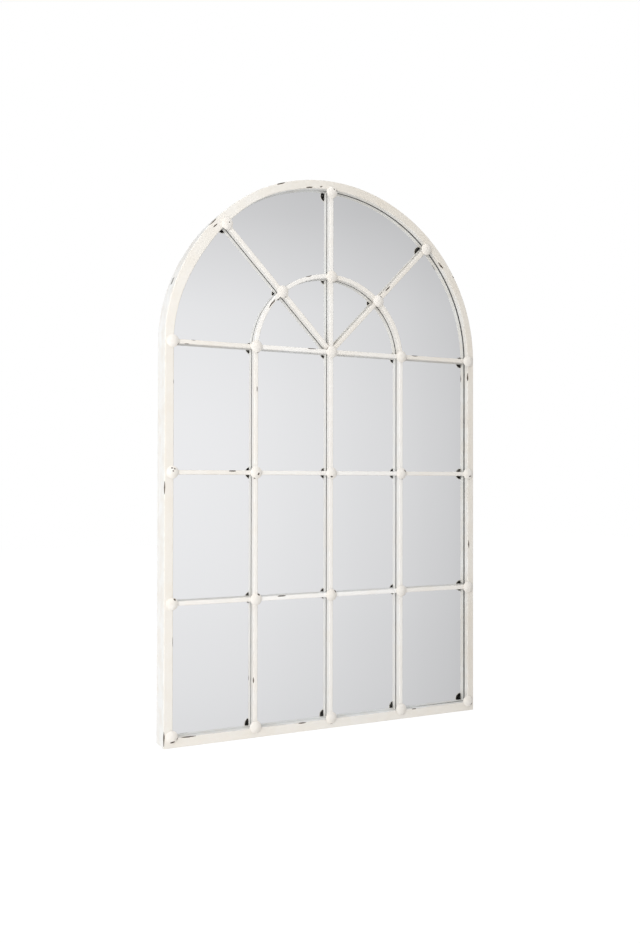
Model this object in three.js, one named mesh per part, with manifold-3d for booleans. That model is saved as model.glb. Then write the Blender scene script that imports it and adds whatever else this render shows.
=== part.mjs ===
// Arched window mirror: a folded sheet-steel frame round a mirror sheet, with a grid of
// channel bars in front of the glass and a pressed domed cap over every crossing.
// Millimetres. +X to the viewer's right, +Y into the wall, +Z up. The origin is on the wall
// plane, on the centre line, at the height of the spring line where the arch begins.
import * as THREE from 'three';
import { mergeVertices } from 'three/addons/utils/BufferGeometryUtils.js';
import Module from 'manifold-3d';

const wasm = await Module();
wasm.setup();

// ---- frame ----
const outerWidth = 800; // over the two jambs
const jambLength = 878; // spring line down to the underside of the bottom rail
const frameDepth = 55; // wall to front face
const faceWidth = 20; // front face of the frame section
const frameSheet = 1.5;
const foldRadius = 2; // outside radius of the folds beside the front face
const lipDepth = 12; // return lip from the front face towards the glass
const hemWidth = 9; // fold at the end of the lip that carries the cushion strip

// ---- bars ----
const columnPitch = 189;
const rowPitch = 284;
const barWidth = 10;
const barDepth = 12;
const barSheet = 1.2;
const barFoldRadius = 1.2;
const spokeAngle = 44; // degrees from vertical
const fanDrop = 13; // the inner half-round's centre lies this far below the spring line

// ---- caps ----
const capDiameter = 28;
const capHeight = 9.5;
const capSkirt = 2;
const capSheet = 1.2;
const capInsetJamb = 17; // cap centres from the outer edge of the jambs
const capInsetArch = 26; // and from the outer edge of the arch
const capInsetBottom = 24; // and from the underside of the bottom rail

// ---- glass and back ----
const glassSetback = 16.5; // front face of the frame to the front of the glass
const glassThickness = 3;
const boardThickness = 6;
const edgeClearance = 1.5; // round the glass and the board, inside the frame wall
const cushionWidth = 6;
const tabWidth = 16; // welded tabs bent over the board
const tabReach = 13;
const tabLeg = 12;
const tabSheet = 1.2;

// ---- hangers ----
const hangerWidth = 38;
const hangerHeight = 64;
const hangerSheet = 2;
const keyholeDiameter = 10;
const keySlotWidth = 5;
const keyDrop = 13; // keyhole centre below the resting place of the wall screw
const keyInset = 22; // keyhole centre line from the outside of the jamb

// ---- fits and facets ----
const fitGap = 0.3; // between neighbouring pieces
const weldBite = 0.4; // how far a welded tab enters the wall
const arcSegments = 96; // facets of a full turn
const capSegments = 18;

// ---- positions that follow from the sizes above ----
const halfWidth = outerWidth / 2;
const innerHalf = halfWidth - faceWidth;
const innerBottom = -jambLength + faceWidth;
const glassHalf = halfWidth - frameSheet - edgeClearance;
const glassBottom = -jambLength + frameSheet + edgeClearance;
const rowHeights = [0, -rowPitch, -2 * rowPitch]; // spring, middle and lower crossbars
const spoke = THREE.MathUtils.degToRad(spokeAngle);
const fanRadius = Math.hypot(columnPitch, fanDrop); // its ends land where the uprights stop
const far = 4 * (outerWidth + jambLength); // longer than anything it cuts

// distance behind the front face -> world y
function atDepth(depth) {
  return -frameDepth + depth;
}

// ---- solids ----
function toSolid(geometry) {
  const bare = geometry.index ? geometry.toNonIndexed() : geometry.clone();
  bare.deleteAttribute('normal');
  bare.deleteAttribute('uv');
  const welded = mergeVertices(bare, 1e-4);
  const mesh = new wasm.Mesh({
    numProp: 3,
    vertProperties: new Float32Array(welded.attributes.position.array),
    triVerts: new Uint32Array(welded.index.array),
  });
  mesh.merge();
  return new wasm.Manifold(mesh);
}

function toGeometry(solid) {
  const mesh = solid.getMesh();
  const geometry = new THREE.BufferGeometry();
  geometry.setAttribute('position', new THREE.BufferAttribute(new Float32Array(mesh.vertProperties), 3));
  geometry.setIndex(new THREE.BufferAttribute(new Uint32Array(mesh.triVerts), 1));
  const flat = geometry.toNonIndexed();
  flat.computeVertexNormals();
  return flat;
}

// a sheet cut to an outline in X and Z, its front at the given depth behind the front face
function sheet(outline, frontDepth, thickness) {
  const geometry = new THREE.ExtrudeGeometry(outline, { depth: thickness, bevelEnabled: false });
  geometry.rotateX(Math.PI / 2);
  geometry.translate(0, atDepth(frontDepth + thickness), 0);
  return toSolid(geometry);
}

function polygon(points) {
  const outline = new THREE.Shape();
  points.forEach(([x, y], i) => (i === 0 ? outline.moveTo(x, y) : outline.lineTo(x, y)));
  outline.closePath();
  return outline;
}

// the window shape: a half circle over a rectangle
function windowPoints(half, bottom) {
  const points = [[-half, bottom], [half, bottom]];
  const steps = arcSegments / 2;
  for (let i = 0; i <= steps; i++) {
    const angle = (Math.PI * i) / steps;
    points.push([half * Math.cos(angle), half * Math.sin(angle)]);
  }
  return points;
}

// straight run of a section: section x is across the run, section y is depth
function run(points, from, to) {
  const start = new THREE.Vector3(from[0], atDepth(0), from[1]);
  const end = new THREE.Vector3(to[0], atDepth(0), to[1]);
  const along = end.clone().sub(start).normalize();
  const depthward = new THREE.Vector3(0, 1, 0);
  const across = new THREE.Vector3().crossVectors(depthward, along);
  const geometry = new THREE.ExtrudeGeometry(polygon(points), {
    depth: start.distanceTo(end),
    bevelEnabled: false,
  });
  geometry.applyMatrix4(new THREE.Matrix4().makeBasis(across, depthward, along).setPosition(start));
  return toSolid(geometry);
}

// full ring of a section about the Y axis: section x is added to the radius
function ring(points, radius, centreHeight) {
  const profile = points.map(([x, y]) => new THREE.Vector2(radius + x, atDepth(y)));
  profile.push(profile[0].clone());
  const geometry = new THREE.LatheGeometry(profile, arcSegments);
  // facets start on the spring line, so a half ring ends on a whole facet
  geometry.rotateY(Math.PI / 2);
  geometry.translate(0, 0, centreHeight);
  return toSolid(geometry);
}

// ---- sections, as points [across, depth] ----
function quarter(cx, cy, radius, startAngle) {
  const points = [];
  const steps = 2;
  for (let i = 0; i <= steps; i++) {
    const angle = startAngle + (Math.PI / 2) * (i / steps);
    points.push([cx + radius * Math.cos(angle), cy + radius * Math.sin(angle)]);
  }
  return points;
}

// frame section; zero is the inner edge of the face and the face runs outwards from it
const frameSection = [
  [faceWidth, frameDepth],
  [faceWidth - frameSheet, frameDepth],
  [faceWidth - frameSheet, frameSheet],
  [frameSheet, frameSheet],
  [frameSheet, lipDepth - frameSheet],
  [hemWidth, lipDepth - frameSheet],
  [hemWidth, lipDepth],
  [0, lipDepth],
  ...quarter(foldRadius, foldRadius, foldRadius, Math.PI),
  ...quarter(faceWidth - foldRadius, foldRadius, foldRadius, 1.5 * Math.PI),
];

const halfBar = barWidth / 2;
// bar section: a channel open towards the glass
const barSection = [
  [halfBar, barDepth],
  [halfBar - barSheet, barDepth],
  [halfBar - barSheet, barSheet],
  [-halfBar + barSheet, barSheet],
  [-halfBar + barSheet, barDepth],
  [-halfBar, barDepth],
  ...quarter(-halfBar + barFoldRadius, barFoldRadius, barFoldRadius, Math.PI),
  ...quarter(halfBar - barFoldRadius, barFoldRadius, barFoldRadius, 1.5 * Math.PI),
];
// room that a bar takes from its neighbours
const barRoom = [
  [-halfBar - fitGap, -1],
  [halfBar + fitGap, -1],
  [halfBar + fitGap, barDepth + 1],
  [-halfBar - fitGap, barDepth + 1],
];

const cushionInset = frameSheet;
const cushionFront = lipDepth + fitGap / 2;
const cushionBack = glassSetback - fitGap / 2;
const cushionSection = [
  [cushionInset, cushionFront],
  [cushionInset + cushionWidth, cushionFront],
  [cushionInset + cushionWidth, cushionBack],
  [cushionInset, cushionBack],
];

// ---- cutters ----
// everything above or below a height
function above(height) {
  return sheet(polygon([[-far, height], [far, height], [far, far], [-far, far]]), -far, 2 * far);
}

// the mitred foot of the frame; the slanted sides run through the corners at 45 degrees
function footRegion(shift) {
  const top = innerBottom + columnPitch / 4;
  const low = -jambLength - columnPitch / 4;
  const reach = (height) => innerHalf + (innerBottom - height) + shift;
  return sheet(
    polygon([[-reach(low), low], [reach(low), low], [reach(top), top], [-reach(top), top]]),
    -far,
    2 * far,
  );
}
const mitreShift = (fitGap / 2) * Math.SQRT2;

// clear space inside the frame's lip, where the bars stand
const windowSpace = sheet(
  polygon(windowPoints(innerHalf - fitGap, innerBottom + fitGap)),
  -frameDepth,
  3 * frameDepth,
);

// a sector about a point of the centre line, between two angles from vertical
function sector(fromAngle, toAngle, centreHeight) {
  const middle = (fromAngle + toAngle) / 2;
  const rays = [fromAngle, middle, toAngle].map((a) => [far * Math.sin(a), centreHeight + far * Math.cos(a)]);
  return sheet(polygon([[0, centreHeight], ...rays.reverse()]), -far, 2 * far);
}

// ---- frame ----
// tab welded inside the outer wall and bent over the back of the board; it stands at a point of
// the outer face and reaches inwards
const tabDepth = glassSetback + glassThickness + boardThickness + 3 * fitGap;
const tabSection = [
  [0, tabDepth],
  [tabReach, tabDepth],
  [tabReach, tabDepth + tabSheet],
  [tabSheet + weldBite, tabDepth + tabSheet],
  [tabSheet + weldBite, tabDepth + tabLeg],
  [0, tabDepth + tabLeg],
];
function tab(wallX, wallZ, inward) {
  const root = frameSheet - weldBite;
  const x = wallX + inward.x * root;
  const z = wallZ + inward.y * root;
  const stepX = (-inward.y * tabWidth) / 2;
  const stepZ = (inward.x * tabWidth) / 2;
  return run(tabSection, [x - stepX, z - stepZ], [x + stepX, z + stepZ]);
}

function withTabs(wall, places) {
  return places.reduce((solid, [x, z, inward]) => solid.add(tab(x, z, inward)), wall);
}

const tabHeights = [-0.5, -1.5, -2.5].map((row) => row * rowPitch);
const tabColumns = [-1.5, 0, 1.5].map((column) => column * columnPitch);
const tabAngles = [-70, -35, 0, 35, 70].map(THREE.MathUtils.degToRad);

const archTabs = tabAngles.map((angle) => [
  halfWidth * Math.sin(angle),
  halfWidth * Math.cos(angle),
  new THREE.Vector2(-Math.sin(angle), -Math.cos(angle)),
]);
const frameArch = withTabs(
  ring(frameSection, innerHalf, 0).intersect(above(fitGap / 2)),
  archTabs,
);

function jamb(side) {
  const section = side > 0 ? frameSection : mirrored(frameSection);
  const wall = run(section, [side * innerHalf, -jambLength], [side * innerHalf, -fitGap / 2]);
  const inward = new THREE.Vector2(-side, 0);
  return withTabs(
    wall.subtract(footRegion(mitreShift)),
    tabHeights.map((height) => [side * halfWidth, height, inward]),
  );
}

// section turned over, left for right
function mirrored(points) {
  return points.map(([x, y]) => [-x, y]).reverse();
}

const frameBottom = withTabs(
  run(frameSection, [-halfWidth, innerBottom], [halfWidth, innerBottom]).intersect(footRegion(-mitreShift)),
  tabColumns.map((x) => [x, -jambLength, new THREE.Vector2(0, 1)]),
);

// ---- cushion strips between the hem and the glass ----
const cushionArch = ring(cushionSection, innerHalf, 0).intersect(above(fitGap / 2));
function cushionSide(side) {
  const section = side > 0 ? cushionSection : mirrored(cushionSection);
  return run(section, [side * innerHalf, -jambLength], [side * innerHalf, -fitGap / 2])
    .subtract(footRegion(mitreShift));
}
const cushionBottom = run(cushionSection, [-halfWidth, innerBottom], [halfWidth, innerBottom])
  .intersect(footRegion(-mitreShift));

// ---- glass and board ----
const glass = sheet(polygon(windowPoints(glassHalf, glassBottom)), glassSetback, glassThickness);
const board = sheet(
  polygon(windowPoints(glassHalf, glassBottom)),
  glassSetback + glassThickness + fitGap,
  boardThickness,
);

// ---- bars ----
const spokeTip = [halfWidth * Math.sin(spoke), halfWidth * Math.cos(spoke)];
const spokeRuns = {
  left: [[0, 0], [-spokeTip[0], spokeTip[1]]],
  right: [[0, 0], [spokeTip[0], spokeTip[1]]],
};
const centreRun = [[0, -jambLength], [0, halfWidth]];
function uprightRun(side) {
  return [[side * columnPitch, -jambLength], [side * columnPitch, halfBar]];
}
function crossRun(height) {
  return [[-halfWidth, height], [halfWidth, height]];
}
function bar([from, to]) {
  return run(barSection, from, to).intersect(windowSpace);
}
function room([from, to]) {
  return run(barRoom, from, to);
}

const centreRoom = room(centreRun);
const springRoom = room(crossRun(0));
const centreBar = bar(centreRun);
const uprights = { left: bar(uprightRun(-1)), right: bar(uprightRun(1)) };
const spokes = {
  left: bar(spokeRuns.left).subtract(centreRoom).subtract(springRoom),
  right: bar(spokeRuns.right).subtract(centreRoom).subtract(springRoom),
};

// crossbar pieces stand between the bars that run through
const bays = [
  { name: 'outer_left', from: -halfWidth, to: -columnPitch },
  { name: 'inner_left', from: -columnPitch, to: 0 },
  { name: 'inner_right', from: 0, to: columnPitch },
  { name: 'outer_right', from: columnPitch, to: halfWidth },
];
const bayStop = halfBar + fitGap;
function crossbar(height, bay) {
  return bar([[bay.from + bayStop, height], [bay.to - bayStop, height]]);
}

// inner half-round, in four pieces between the spokes, the centre bar and the spring line
const fanRing = ring(barSection, fanRadius, -fanDrop)
  .intersect(above(halfBar + fitGap))
  .subtract(centreRoom)
  .subtract(room(spokeRuns.left))
  .subtract(room(spokeRuns.right));
const quarterTurn = Math.PI / 2;
const fanPieces = {
  outer_left: fanRing.intersect(sector(-quarterTurn, -spoke, 0)),
  inner_left: fanRing.intersect(sector(-spoke, 0, 0)),
  inner_right: fanRing.intersect(sector(0, spoke, 0)),
  outer_right: fanRing.intersect(sector(spoke, quarterTurn, 0)),
};

// ---- caps: pressed domes, hollow behind ----
function domePoints(radius, rise, skirt, steps) {
  const ball = (radius * radius + rise * rise) / (2 * rise);
  const sweep = Math.asin(Math.min(1, radius / ball));
  const points = [];
  for (let i = 0; i <= steps; i++) {
    const angle = (sweep * i) / steps;
    points.push([ball * Math.sin(angle), -skirt - rise + ball * (1 - Math.cos(angle))]);
  }
  return points;
}
function cap(x, z) {
  const radius = capDiameter / 2;
  const rise = capHeight - capSkirt;
  const outside = domePoints(radius, rise, capSkirt, 4);
  const inside = domePoints(radius - capSheet, rise - capSheet, capSkirt, 3).reverse();
  const profile = [...outside, [radius, 0], [radius - capSheet, 0], ...inside];
  profile[0][0] = 0;
  profile[profile.length - 1][0] = 0;
  const geometry = new THREE.LatheGeometry(
    profile.map(([r, y]) => new THREE.Vector2(r, y)),
    capSegments,
  );
  geometry.translate(x, atDepth(-fitGap), z);
  return toSolid(geometry);
}

const capX = [capInsetJamb - halfWidth, -columnPitch, 0, columnPitch, halfWidth - capInsetJamb];
const capRows = {
  spring: rowHeights[0],
  middle: rowHeights[1],
  lower: rowHeights[2],
  bottom: -jambLength + capInsetBottom,
};
const capColumns = ['far_left', 'left', 'centre', 'right', 'far_right'];
const archCapRadius = halfWidth - capInsetArch;
// distance from the hub to the inner half-round along a line at an angle from vertical
function hubToFan(angle) {
  const fall = fanDrop * Math.cos(angle);
  return -fall + Math.sqrt(fall * fall + fanRadius * fanRadius - fanDrop * fanDrop);
}

// ---- hangers: keyhole plates inside the back of the frame ----
function hanger(side) {
  const plateX = (inset) => side * (halfWidth - inset);
  const outline = polygon([
    [plateX(0), -hangerHeight / 2],
    [plateX(hangerWidth), -hangerHeight / 2],
    [plateX(hangerWidth), hangerHeight / 2],
    [plateX(0), hangerHeight / 2],
  ]);
  const centreX = plateX(keyInset);
  const keyhole = new THREE.Shape();
  const slotHalf = keySlotWidth / 2;
  const holeRadius = Math.max(keyholeDiameter / 2, slotHalf * 1.01);
  const shoulder = Math.asin(slotHalf / holeRadius);
  keyhole.absarc(centreX, -keyDrop, holeRadius, Math.PI / 2 + shoulder, 2.5 * Math.PI - shoulder, false);
  keyhole.absarc(centreX, 0, slotHalf, 0, Math.PI, false);
  keyhole.closePath();
  const plateFront = frameDepth - hangerSheet;
  const insideWall = sheet(
    polygon(windowPoints(halfWidth - frameSheet - fitGap, -jambLength)),
    0,
    2 * frameDepth,
  );
  return sheet(outline, plateFront, hangerSheet)
    .intersect(insideWall)
    .subtract(sheet(keyhole, plateFront - 1, hangerSheet + 2));
}

// ---- materials ----
const creamPaint = new THREE.MeshStandardMaterial({ color: 0xf1ece2, roughness: 0.55, metalness: 0 });
const silvered = new THREE.MeshStandardMaterial({ color: 0xdfe4e6, roughness: 0.03, metalness: 1 });
const brownBoard = new THREE.MeshStandardMaterial({ color: 0x8a6a48, roughness: 0.9, metalness: 0 });
const blackFoam = new THREE.MeshStandardMaterial({ color: 0x1f1f1f, roughness: 0.95, metalness: 0 });
const bareSteel = new THREE.MeshStandardMaterial({ color: 0x8d8f90, roughness: 0.45, metalness: 0.9 });

// ---- assembly ----
const mirror = new THREE.Group();
mirror.name = 'arched_window_mirror';
function place(name, solid, material) {
  const mesh = new THREE.Mesh(toGeometry(solid), material);
  mesh.name = name;
  mirror.add(mesh);
}

place('frame_arch', frameArch, creamPaint);
place('frame_jamb_left', jamb(-1), creamPaint);
place('frame_jamb_right', jamb(1), creamPaint);
place('frame_bottom_rail', frameBottom, creamPaint);
place('mirror_glass', glass, silvered);
place('backing_board', board, brownBoard);
place('cushion_arch', cushionArch, blackFoam);
place('cushion_left', cushionSide(-1), blackFoam);
place('cushion_right', cushionSide(1), blackFoam);
place('cushion_bottom', cushionBottom, blackFoam);
place('centre_bar', centreBar, creamPaint);
place('upright_left', uprights.left, creamPaint);
place('upright_right', uprights.right, creamPaint);
place('spoke_left', spokes.left, creamPaint);
place('spoke_right', spokes.right, creamPaint);
Object.entries(fanPieces).forEach(([name, solid]) => place(`fan_arc_${name}`, solid, creamPaint));
['spring', 'middle', 'lower'].forEach((row, i) => {
  bays.forEach((bay) => place(`crossbar_${row}_${bay.name}`, crossbar(rowHeights[i], bay), creamPaint));
});
Object.entries(capRows).forEach(([row, height]) => {
  capColumns.forEach((column, i) => place(`cap_${row}_${column}`, cap(capX[i], height), creamPaint));
});
[['left', -spoke], ['top', 0], ['right', spoke]].forEach(([name, angle]) => {
  const archReach = archCapRadius;
  const fanReach = hubToFan(angle);
  place(`cap_arch_${name}`, cap(archReach * Math.sin(angle), archReach * Math.cos(angle)), creamPaint);
  place(`cap_fan_${name}`, cap(fanReach * Math.sin(angle), fanReach * Math.cos(angle)), creamPaint);
});
place('hanger_left', hanger(-1), bareSteel);
place('hanger_right', hanger(1), bareSteel);

export default mirror;
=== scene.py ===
import math

import bmesh
import bpy
import numpy as np
from mathutils import Matrix, Vector


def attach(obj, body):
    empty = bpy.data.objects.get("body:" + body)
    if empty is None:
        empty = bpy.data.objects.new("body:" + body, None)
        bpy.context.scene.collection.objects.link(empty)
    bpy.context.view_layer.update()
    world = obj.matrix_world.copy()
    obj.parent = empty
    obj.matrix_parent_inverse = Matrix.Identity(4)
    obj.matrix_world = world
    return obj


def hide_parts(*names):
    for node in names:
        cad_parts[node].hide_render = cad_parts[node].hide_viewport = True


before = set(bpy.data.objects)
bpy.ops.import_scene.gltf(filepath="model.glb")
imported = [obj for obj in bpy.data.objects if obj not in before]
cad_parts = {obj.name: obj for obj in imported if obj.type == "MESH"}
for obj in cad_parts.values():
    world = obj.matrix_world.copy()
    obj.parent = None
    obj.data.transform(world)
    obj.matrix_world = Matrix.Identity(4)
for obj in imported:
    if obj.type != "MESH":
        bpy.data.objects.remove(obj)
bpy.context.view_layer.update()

MM = 0.001  # the shapes are worked out in millimetres and built in metres

# ---------------------------------------------------------------- sizes, in millimetres
GAP = 0.3  # clearance between neighbouring pieces
STEP = 3.0  # spacing of the rings along a run

HALF_WIDTH = 400.0
JAMB_LENGTH = 878.0
FRAME_DEPTH = 55.0
FACE = 20.0  # width of the frame's front face
FRAME_SHEET = 1.5
FRAME_FOLD = 1.5  # radius of the frame's folds
INNER_HALF = HALF_WIDTH - FACE
INNER_BOTTOM = -JAMB_LENGTH + FACE

LIP = 14.0  # how deep the frame's return lip is on the right
LIP_CLOSED = 2.4  # how much further back it comes on the left and at the bottom
LIP_ZONE = 4.0  # the part of the lip that moves with its back edge
LIP_MARGIN = 1.0  # and how far past that edge and the hem a point still moves
LIP_OPENS_AT = math.radians(8)  # where on the arch the lip is back at its own depth
LIP_OPENS_OVER = math.radians(20)
LIP_OPENS_BELOW = 260.0  # the same change along the bottom rail, from the right
HEM = 9.0  # width of the hem behind the lip

SHOULDER_SWELL = 8.5  # the hand-bent face is wider on the arch's left shoulder
SHOULDER_AT = math.radians(-56)
SHOULDER_REACH = math.radians(34)
SHOULDER_TUCK = 2.5  # and its outer edge lies a little further in
RIGHT_JAMB_TRIM = 3.2  # the right jamb's face is narrower
BOTTOM_SWELL = 1.0  # the bottom rail's face is wider
RIGHT_HALF = INNER_HALF + RIGHT_JAMB_TRIM
LOW = INNER_BOTTOM + BOTTOM_SWELL

COLUMN_PITCH = 189.0
ROW_PITCH = 284.0
BAR_WIDTH = 10.0
HALF_BAR = BAR_WIDTH / 2
UPRIGHT_DEPTH = 14.5
CROSSBAR_DEPTH = 15.8
SPOKE_DEPTH = {"left": 14.2, "right": 15.3}
BAR_SHEET = 1.2
BAR_FOLD = 1.6
BAR_RUBBED = 12.0  # depth at which the flanks are rubbed, besides the front folds
SPOKE_ANGLE = math.radians(44)
SPOKE_START = 13.2  # from the hub's middle
CENTRE_BAR_SHORT = 0.05  # square ends have to clear the curve of the arch
SPOKE_SHORT = 0.1
FAN_DROP = 13.0  # how far the inner half-round's centre lies below the spring line
FAN_RADIUS = math.hypot(COLUMN_PITCH, FAN_DROP)
FAN_STEP = 4.0

CAP_RADIUS = 14.0
CAP_HEIGHT = 6.0
CAP_SKIRT = 1.2  # the straight part at the rim
CAP_SHEET = 1.2
CAP_SIDES = 36
CAP_WELD = 0.02  # joins the points at the middle of a cap
CAP_SEED = 11
CAP_DENTS = 5  # waves round each cap that put it out of true
CAP_OUT_OF_ROUND = 0.006  # share of the radius
CAP_DENT_DEPTH = 0.5
CAP_TOP_CALM = 3.0  # the dents fade towards the middle, within this radius
DOME_POWER = 2.3  # flatter in the middle than a ball
CAP_INSET_JAMB = 17.0
CAP_INSET_ARCH = 26.0
CAP_INSET_BOTTOM = 24.0

GLASS_SETBACK = 16.5
GLASS_THICKNESS = 3.0
BOARD_THICKNESS = 6.0
BACK_OF_BOARD = GLASS_SETBACK + GLASS_THICKNESS + GAP + BOARD_THICKNESS
FOAM_OFF_GLASS = 0.05
TAB_WIDTH = 16.0
TAB_REACH = 13.0
TAB_LEG = 12.0
TAB_SHEET = 1.2
TAB_BEND = 1.4  # inner radius of the bend
TAB_SUNK = 0.05  # how far the tab's foot sits in the frame's wall

# ---------------------------------------------------------------- how the paint is laid
EDGE_REACH = 1.7  # how far from a fold the paint is still rubbed, in mm
SHARP_ANGLE = math.radians(35)
WORN_LENGTHEN = 1.5  # the soft border of a worn mark, in mm
WORN_WIDEN = 1.0
WORN_DEPTH = 6.0  # how far behind the frame's front the marks reach, in mm
PIECE_APART = 131.7  # keeps the texture of each bar apart from the others, in mm
CAP_APART = 40.0
CAP_ROUND = 0.8  # share of the rim's length that the texture has round a cap
CAP_RIM_RUBBED = 0.85  # how much the rim of a cap is rubbed, against 1 on a fold
CAP_RIM_REACH = 2.0
TAB_APART = 37.0


# ---------------------------------------------------------------- worn places
# Where the paint has gone, on the front of the mirror: x, z, half length, half width in
# millimetres and the angle of the mark's long side from upright, in degrees.
WORN_FRAME = [
    (-129, 377, 17, 1.5, 71), (-293, 269, 18, 1.7, 43), (-286, 262, 10, 0.9, 43), (-58, 378, 16, 1.1, 81),
    (-28, 384, 3, 1.3, 60), (304, 232, 16, 1.5, -53), (296, 240, 9, 1.0, -51), (396, 3, 7, 1.6, 0),
    (383, -40, 15, 1.4, 0), (386, -461, 14, 1.3, 0), (-400, -318, 21, 1.6, 0), (-400, -857, 24, 2.4, 0),
    (-380, -88, 9, 0.7, 0), (-380, -650, 24, 0.9, 0), (388, -861, 11, 1.4, 90), (-345, -857.5, 26, 0.7, 90),
    (-74, -858, 13, 1.0, 90), (226, -857, 9, 1.2, 90), (340, 208, 6, 0.9, -58),
]
WORN_BARS = [
    (-351, -5, 10, 0.9, 90), (-336, 5, 7, 0.9, 90), (-52, 4.6, 18, 1.3, 90), (228, 4.6, 12, 1.6, 90),
    (-58, 172, 12, 1.0, 72), (-148, 123, 6, 1.0, 40), (-153, 98, 13, 1.2, 30), (-146, 106, 8, 0.8, 30),
    (151, 162, 11, 1.6, 44), (-245, -280.5, 12, 1.3, 90), (-126, -564, 16, 1.2, 90), (-194, -750, 10, 1.4, 0),
    (-195, 24, 8, 0.8, 0), (4, 166, 4, 1.2, 90), (-187, -95, 8, 0.7, 0),
]
# On the caps: the cap's name, the angle of the mark round the cap in degrees (0 to the right,
# 90 up), how far out it lies as a share of the radius, half length (along the rim) and half width.
WORN_CAPS = [
    ("middle_far_left", 100, 0.66, 2.6, 2.4), ("middle_far_left", 60, 0.62, 2.8, 2.5),
    ("middle_far_left", 80, 0.2, 2.4, 2.3),
    ("middle_left", -35, 0.35, 4.5, 3.2), ("middle_left", -110, 0.95, 4, 1.6),
    ("middle_centre", -100, 0.6, 5, 3), ("middle_right", 35, 0.8, 5, 2.6),
    ("middle_right", -80, 1.0, 5, 1.4), ("middle_far_right", -60, 0.5, 4.5, 3),
    ("lower_far_left", 60, 0.8, 4.5, 3), ("lower_left", 60, 0.85, 4.5, 2.6),
    ("lower_centre", 40, 0.9, 5.5, 2.6), ("lower_right", -50, 1.0, 4, 1.6),
    ("bottom_far_left", -80, 0.75, 8, 3.2), ("bottom_far_left", -20, 0.95, 5, 2),
    ("bottom_right", -60, 1.0, 6, 1.8), ("bottom_centre", -90, 1.0, 7, 1.4),
    ("arch_top", 60, 0.55, 3, 2.2), ("arch_top", 20, 0.9, 3, 2), ("arch_left", 30, 0.3, 2.4, 1.8),
    ("fan_right", 60, 0.9, 4, 2), ("fan_top", -70, 1.0, 5, 1.6), ("spring_far_left", -30, 1.0, 5, 1.8),
    ("spring_left", -75, 1.0, 5, 1.4), ("spring_centre", 150, 1.0, 4, 1.4),
    ("bottom_far_right", -40, 0.9, 5, 2.6), ("fan_left", -60, 1.0, 4, 1.6),
]
CAP_MARK_BORDER = 1.0  # part of a cap mark's half length and width that is its soft border, in mm


def worn_amount(points, marks):
    """How worn each point (x, z in mm) is by the marks: 1 in the middle of one, 0 away from all."""
    amount = np.zeros(len(points))
    for x, z, half_length, half_width, angle in marks:
        turn = math.radians(angle)
        dx = points[:, 0] - x
        dz = points[:, 1] - z
        along = (dx * math.sin(turn) + dz * math.cos(turn)) / (half_length + WORN_LENGTHEN)
        across = (dx * math.cos(turn) - dz * math.sin(turn)) / (half_width + WORN_WIDEN)
        amount = np.maximum(amount, 1 - np.sqrt(along ** 2 + across ** 2))
    return np.clip(amount, 0, 1)


# How much glaze, laid by hand and never even, and painted shade lie on the cream: above 0 is darker and
# warmer, below 0 chalkier and lighter, partly glaze and partly painted shade and light, on the frame
# darker mostly to the right and lighter on the left and along the bottom. On the frame: x, z, reach in
# millimetres and glaze and shade; on the bars by name.
GLAZE_AND_SHADE_FRAME = [
    (-390, -300, 200, 0.0), (-390, -760, 150, -0.035), (-250, -868, 110, -0.03), (0, -868, 170, -0.08),
    (250, -868, 120, -0.08), (390, -740, 130, 0.085), (390, -450, 140, 0.0), (390, -120, 140, 0.035),
    (353, 164, 110, 0.045), (240, 306, 90, 0.04), (100, 376, 80, 0.065), (-60, 384, 70, -0.02),
    (-134, 366, 60, -0.03), (-223, 319, 70, -0.09), (-337, 195, 80, -0.04), (-376, 100, 80, -0.06),
]
GLAZE_AND_SHADE_BARS = {
    "upright_left": 0.02, "upright_right": -0.015,
    "crossbar_spring_outer_left": 0.07, "crossbar_spring_inner_left": -0.035,
    "crossbar_spring_inner_right": 0.015, "crossbar_spring_outer_right": 0.10,
    "crossbar_middle_outer_left": 0.045, "crossbar_middle_inner_left": -0.015,
    "crossbar_middle_inner_right": -0.035, "crossbar_middle_outer_right": 0.04,
    "crossbar_lower_outer_left": 0.015, "crossbar_lower_inner_left": -0.07,
    "crossbar_lower_inner_right": -0.07, "crossbar_lower_outer_right": 0.015,
    "spoke_left": 0.035, "spoke_right": 0.09,
    "fan_arc_outer_left": -0.03, "fan_arc_inner_right": 0.055, "fan_arc_outer_right": 0.065,
}
NO_GLAZE_AND_SHADE_WEIGHT = 0.1  # pulls the glaze and painted shade to 0 away from the listed places
GLAZE_AND_SHADE_ON_CHANNELS = (0.8, 1.0, 1.3)  # it takes more of the blue than of the red


def glaze_and_shade_amount(points):
    """The glaze and painted shade on the frame at each point (x, z in mm), eased between the listed places.
    """
    total = np.zeros(len(points))
    weight = np.full(len(points), NO_GLAZE_AND_SHADE_WEIGHT)
    for x, z, reach, glaze_and_shade in GLAZE_AND_SHADE_FRAME:
        near = np.exp(-((points[:, 0] - x) ** 2 + (points[:, 1] - z) ** 2) / reach ** 2)
        total += near * glaze_and_shade
        weight += near
    return total / weight


# ---------------------------------------------------------------- mesh building
def build(name, vertices, faces, attributes):
    """A mesh object from points in millimetres, smooth except at its sharp edges."""
    mesh = bpy.data.meshes.new(name)
    mesh.from_pydata((np.asarray(vertices) * MM).tolist(), [], faces)
    for key, values in attributes.items():
        values = np.asarray(values, np.float32)
        if values.ndim == 2:
            layer = mesh.attributes.new(key, "FLOAT_VECTOR", "POINT")
            layer.data.foreach_set("vector", values.ravel())
        else:
            layer = mesh.attributes.new(key, "FLOAT", "POINT")
            layer.data.foreach_set("value", values)
    mesh.polygons.foreach_set("use_smooth", [True] * len(mesh.polygons))
    mesh.set_sharp_from_angle(angle=SHARP_ANGLE)
    mesh.validate()
    thing = bpy.data.objects.new(name, mesh)
    bpy.context.scene.collection.objects.link(thing)
    return thing


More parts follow.
